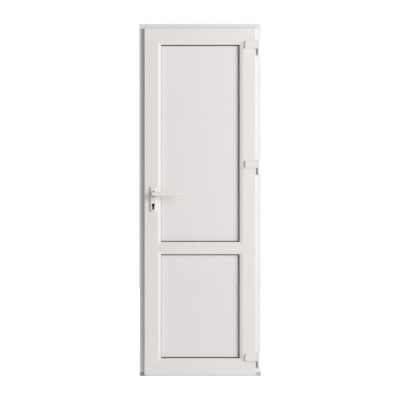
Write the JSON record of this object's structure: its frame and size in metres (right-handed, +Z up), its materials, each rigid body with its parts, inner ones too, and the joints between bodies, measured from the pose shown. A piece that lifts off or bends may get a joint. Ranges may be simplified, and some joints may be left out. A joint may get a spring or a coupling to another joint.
{
  "type": "upvc door",
  "caption": "White uPVC door set with an outer frame, low threshold and a flush leaf with infill panels, hinged on the right and opened by lever handles.",
  "frame": {"origin": "underside of the threshold, at the middle of the width and of the frame's depth", "axes": "+X to the hinge side, as seen from the inside, +Y to the outside, +Z up"},
  "size_m": [0.68, 0.162, 1.97],
  "materials": {
    "upvc_profile": "smooth white",
    "panel_skin": "smooth white",
    "gasket_rubber": "matt black",
    "hinge_coating": "white coat",
    "handle_coating": "white coat",
    "plated_steel": "zinc plated",
    "threshold_aluminium": "mill finish",
    "end_block_plastic": "moulded",
    "dark_cylinder": "black"
  },
  "bodies": {
    "frame": {"left_jamb": "upvc_profile", "right_jamb": "upvc_profile", "head": "upvc_profile", "threshold": "threshold_aluminium", "left_end_block": "end_block_plastic", "right_end_block": "end_block_plastic", "strike_plate": "plated_steel", "bottom_hinge_base": "hinge_coating", "middle_hinge_base": "hinge_coating", "top_hinge_base": "hinge_coating", "bottom_hinge_pin": "plated_steel", "middle_hinge_pin": "plated_steel", "top_hinge_pin": "plated_steel"},
    "leaf": {"lock_stile": "upvc_profile", "hinge_stile": "upvc_profile", "top_rail": "upvc_profile", "bottom_rail": "upvc_profile", "mid_rail": "upvc_profile", "upper_panel": "panel_skin", "lower_panel": "panel_skin", "inner_backplate": "handle_coating", "outer_backplate": "handle_coating", "lock_cylinder": "dark_cylinder", "lock_faceplate": "plated_steel", "latch_bolt": "plated_steel", "dead_bolt": "plated_steel", "upper_left_bead": "upvc_profile", "upper_right_bead": "upvc_profile", "upper_top_bead": "upvc_profile", "upper_bottom_bead": "upvc_profile", "lower_left_bead": "upvc_profile", "lower_right_bead": "upvc_profile", "lower_top_bead": "upvc_profile", "lower_bottom_bead": "upvc_profile", "upper_inner_gasket": "gasket_rubber", "upper_outer_gasket": "gasket_rubber", "lower_inner_gasket": "gasket_rubber", "lower_outer_gasket": "gasket_rubber", "bottom_hinge_flag": "hinge_coating", "middle_hinge_flag": "hinge_coating", "top_hinge_flag": "hinge_coating"},
    "lever_handles": {"inner_lever": "handle_coating", "outer_lever": "handle_coating", "spindle": "plated_steel"}
  },
  "joints": [
    {"name": "leaf_swing", "type": "hinge", "parent": "frame", "child": "leaf", "pos_m": [0.326, -0.051, 0.985], "axis": [0, 0, 1], "range_deg": [0, 100]},
    {"name": "lever_turn", "type": "hinge", "parent": "leaf", "child": "lever_handles", "pos_m": [-0.262, -0.02, 1.019], "axis": [0, 1, 0], "range_deg": [0, 40], "stiffness_Nm_per_rad": 1.5, "springref_deg": -34.38}
  ]
}
